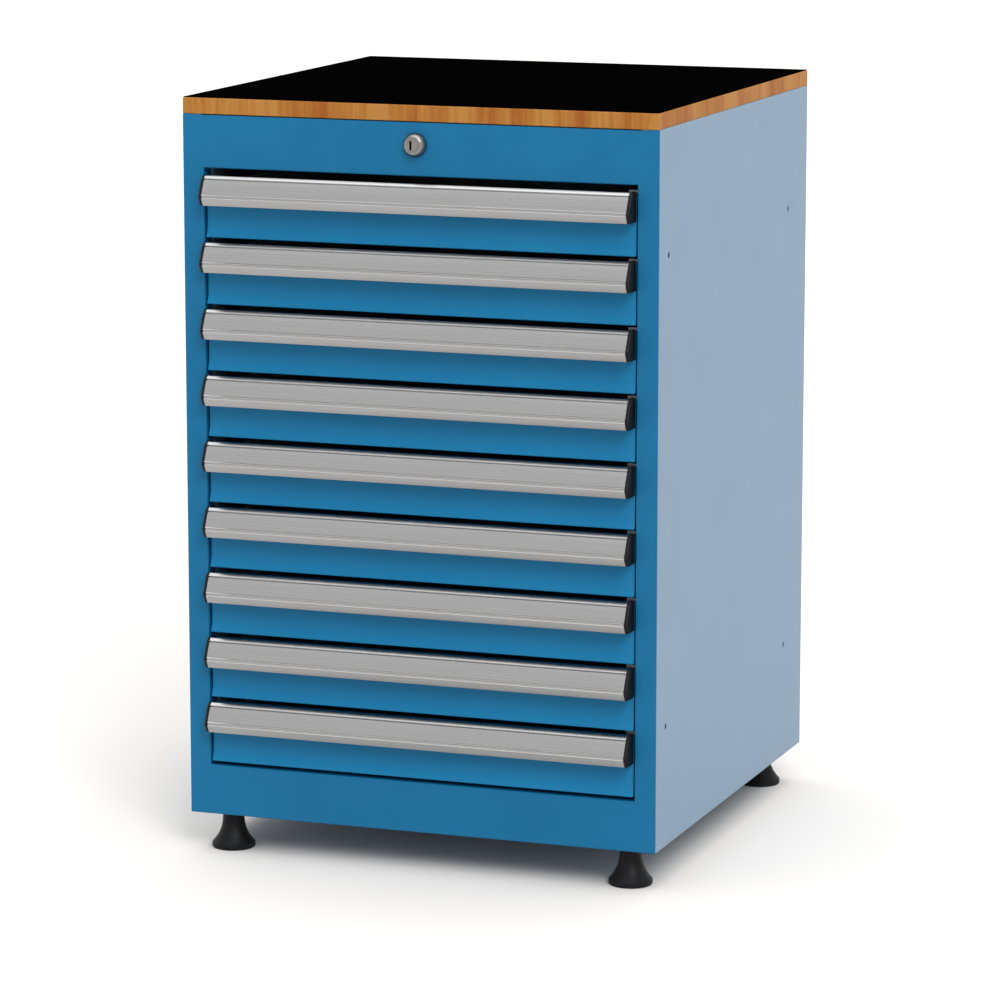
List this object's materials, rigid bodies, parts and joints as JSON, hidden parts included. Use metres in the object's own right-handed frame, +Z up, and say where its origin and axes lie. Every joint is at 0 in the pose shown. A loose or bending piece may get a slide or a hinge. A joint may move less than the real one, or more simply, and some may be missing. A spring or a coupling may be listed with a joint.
{
  "type": "workshop drawer cabinet",
  "caption": "Steel workshop cabinet with a stack of full extension drawers behind aluminium handle strips, a wooden worktop with black laminate, a central lock and levelling feet.",
  "frame": {"origin": "on the floor, under the centre of the box that encloses the closed cabinet with its handles", "axes": "+Z up, +Y to the back, +X to the right as seen by someone who stands in front; the drawers open towards -Y"},
  "size_m": [0.564, 0.594, 0.873],
  "materials": {
    "blue_enamel": "blue powder coat, satin",
    "pale_enamel": "pale blue-grey powder coat, satin",
    "tray_enamel": "light grey powder coat, satin",
    "aluminium": "extruded, satin anodised",
    "black_plastic": "moulded, fine grain",
    "zinc_steel": "bright zinc plated",
    "nickel": "satin nickel plated",
    "wood": "oiled solid wood edge",
    "laminate": "black high pressure laminate"
  },
  "bodies": {
    "cabinet": {"front_frame": "blue_enamel", "side_panel_left": "pale_enamel", "side_panel_right": "pale_enamel", "back_panel": "pale_enamel", "base_plate": "pale_enamel", "worktop_board": "wood", "worktop_laminate": "laminate", "cabinet_rails": "zinc_steel", "lock_housing": "nickel"},
    "lock_plug": {"lock_plug": "nickel"},
    "locking_bar": {"locking_bar": "zinc_steel"},
    "foot_front_left": {"foot_front_left": "black_plastic"},
    "foot_front_right": {"foot_front_right": "black_plastic"},
    "foot_rear_left": {"foot_rear_left": "black_plastic"},
    "foot_rear_right": {"foot_rear_right": "black_plastic"},
    "drawer_1": {"drawer_1_tray": "tray_enamel", "drawer_1_front": "blue_enamel", "drawer_1_handle": "aluminium", "drawer_1_end_caps": "black_plastic"},
    "mid_rails_1": {"drawer_1_mid_rails": "zinc_steel"},
    "drawer_2": {"drawer_2_tray": "tray_enamel", "drawer_2_front": "blue_enamel", "drawer_2_handle": "aluminium", "drawer_2_end_caps": "black_plastic"},
    "mid_rails_2": {"drawer_2_mid_rails": "zinc_steel"},
    "drawer_3": {"drawer_3_tray": "tray_enamel", "drawer_3_front": "blue_enamel", "drawer_3_handle": "aluminium", "drawer_3_end_caps": "black_plastic"},
    "mid_rails_3": {"drawer_3_mid_rails": "zinc_steel"},
    "drawer_4": {"drawer_4_tray": "tray_enamel", "drawer_4_front": "blue_enamel", "drawer_4_handle": "aluminium", "drawer_4_end_caps": "black_plastic"},
    "mid_rails_4": {"drawer_4_mid_rails": "zinc_steel"},
    "drawer_5": {"drawer_5_tray": "tray_enamel", "drawer_5_front": "blue_enamel", "drawer_5_handle": "aluminium", "drawer_5_end_caps": "black_plastic"},
    "mid_rails_5": {"drawer_5_mid_rails": "zinc_steel"},
    "drawer_6": {"drawer_6_tray": "tray_enamel", "drawer_6_front": "blue_enamel", "drawer_6_handle": "aluminium", "drawer_6_end_caps": "black_plastic"},
    "mid_rails_6": {"drawer_6_mid_rails": "zinc_steel"},
    "drawer_7": {"drawer_7_tray": "tray_enamel", "drawer_7_front": "blue_enamel", "drawer_7_handle": "aluminium", "drawer_7_end_caps": "black_plastic"},
    "mid_rails_7": {"drawer_7_mid_rails": "zinc_steel"},
    "drawer_8": {"drawer_8_tray": "tray_enamel", "drawer_8_front": "blue_enamel", "drawer_8_handle": "aluminium", "drawer_8_end_caps": "black_plastic"},
    "mid_rails_8": {"drawer_8_mid_rails": "zinc_steel"},
    "drawer_9": {"drawer_9_tray": "tray_enamel", "drawer_9_front": "blue_enamel", "drawer_9_handle": "aluminium", "drawer_9_end_caps": "black_plastic"},
    "mid_rails_9": {"drawer_9_mid_rails": "zinc_steel"}
  },
  "joints": [
    {"name": "drawer_1_slide", "type": "slide", "parent": "cabinet", "child": "drawer_1", "axis": [0, -1, 0], "range_m": [0, 0.48]},
    {"name": "mid_rails_1_slide", "type": "slide", "parent": "cabinet", "child": "mid_rails_1", "axis": [0, -1, 0], "range_m": [0, 0.24]},
    {"name": "drawer_2_slide", "type": "slide", "parent": "cabinet", "child": "drawer_2", "axis": [0, -1, 0], "range_m": [0, 0.48]},
    {"name": "mid_rails_2_slide", "type": "slide", "parent": "cabinet", "child": "mid_rails_2", "axis": [0, -1, 0], "range_m": [0, 0.24]},
    {"name": "drawer_3_slide", "type": "slide", "parent": "cabinet", "child": "drawer_3", "axis": [0, -1, 0], "range_m": [0, 0.48]},
    {"name": "mid_rails_3_slide", "type": "slide", "parent": "cabinet", "child": "mid_rails_3", "axis": [0, -1, 0], "range_m": [0, 0.24]},
    {"name": "drawer_4_slide", "type": "slide", "parent": "cabinet", "child": "drawer_4", "axis": [0, -1, 0], "range_m": [0, 0.48]},
    {"name": "mid_rails_4_slide", "type": "slide", "parent": "cabinet", "child": "mid_rails_4", "axis": [0, -1, 0], "range_m": [0, 0.24]},
    {"name": "drawer_5_slide", "type": "slide", "parent": "cabinet", "child": "drawer_5", "axis": [0, -1, 0], "range_m": [0, 0.48]},
    {"name": "mid_rails_5_slide", "type": "slide", "parent": "cabinet", "child": "mid_rails_5", "axis": [0, -1, 0], "range_m": [0, 0.24]},
    {"name": "drawer_6_slide", "type": "slide", "parent": "cabinet", "child": "drawer_6", "axis": [0, -1, 0], "range_m": [0, 0.48]},
    {"name": "mid_rails_6_slide", "type": "slide", "parent": "cabinet", "child": "mid_rails_6", "axis": [0, -1, 0], "range_m": [0, 0.24]},
    {"name": "drawer_7_slide", "type": "slide", "parent": "cabinet", "child": "drawer_7", "axis": [0, -1, 0], "range_m": [0, 0.48]},
    {"name": "mid_rails_7_slide", "type": "slide", "parent": "cabinet", "child": "mid_rails_7", "axis": [0, -1, 0], "range_m": [0, 0.24]},
    {"name": "drawer_8_slide", "type": "slide", "parent": "cabinet", "child": "drawer_8", "axis": [0, -1, 0], "range_m": [0, 0.48]},
    {"name": "mid_rails_8_slide", "type": "slide", "parent": "cabinet", "child": "mid_rails_8", "axis": [0, -1, 0], "range_m": [0, 0.24]},
    {"name": "drawer_9_slide", "type": "slide", "parent": "cabinet", "child": "drawer_9", "axis": [0, -1, 0], "range_m": [0, 0.48]},
    {"name": "mid_rails_9_slide", "type": "slide", "parent": "cabinet", "child": "mid_rails_9", "axis": [0, -1, 0], "range_m": [0, 0.24]},
    {"name": "lock_turn", "type": "hinge", "parent": "cabinet", "child": "lock_plug", "pos_m": [-0.0015, -0.275, 0.828], "axis": [0, 1, 0], "range_deg": [0, 90]},
    {"name": "locking_bar_slide", "type": "slide", "parent": "cabinet", "child": "locking_bar", "axis": [0, 0, -1], "range_m": [0, 0.012]},
    {"name": "foot_front_left_height", "type": "slide", "parent": "cabinet", "child": "foot_front_left", "axis": [0, 0, -1], "range_m": [0, 0.015]},
    {"name": "foot_front_right_height", "type": "slide", "parent": "cabinet", "child": "foot_front_right", "axis": [0, 0, -1], "range_m": [0, 0.015]},
    {"name": "foot_rear_left_height", "type": "slide", "parent": "cabinet", "child": "foot_rear_left", "axis": [0, 0, -1], "range_m": [0, 0.015]},
    {"name": "foot_rear_right_height", "type": "slide", "parent": "cabinet", "child": "foot_rear_right", "axis": [0, 0, -1], "range_m": [0, 0.015]}
  ],
  "couplings": [
    {"joint": "mid_rails_1_slide", "follows": "drawer_1_slide", "ratio": 0.5},
    {"joint": "mid_rails_2_slide", "follows": "drawer_2_slide", "ratio": 0.5},
    {"joint": "mid_rails_3_slide", "follows": "drawer_3_slide", "ratio": 0.5},
    {"joint": "mid_rails_4_slide", "follows": "drawer_4_slide", "ratio": 0.5},
    {"joint": "mid_rails_5_slide", "follows": "drawer_5_slide", "ratio": 0.5},
    {"joint": "mid_rails_6_slide", "follows": "drawer_6_slide", "ratio": 0.5},
    {"joint": "mid_rails_7_slide", "follows": "drawer_7_slide", "ratio": 0.5},
    {"joint": "mid_rails_8_slide", "follows": "drawer_8_slide", "ratio": 0.5},
    {"joint": "mid_rails_9_slide", "follows": "drawer_9_slide", "ratio": 0.5},
    {"joint": "lock_turn", "follows": "locking_bar_slide", "rad_per_m": 130.89}
  ]
}
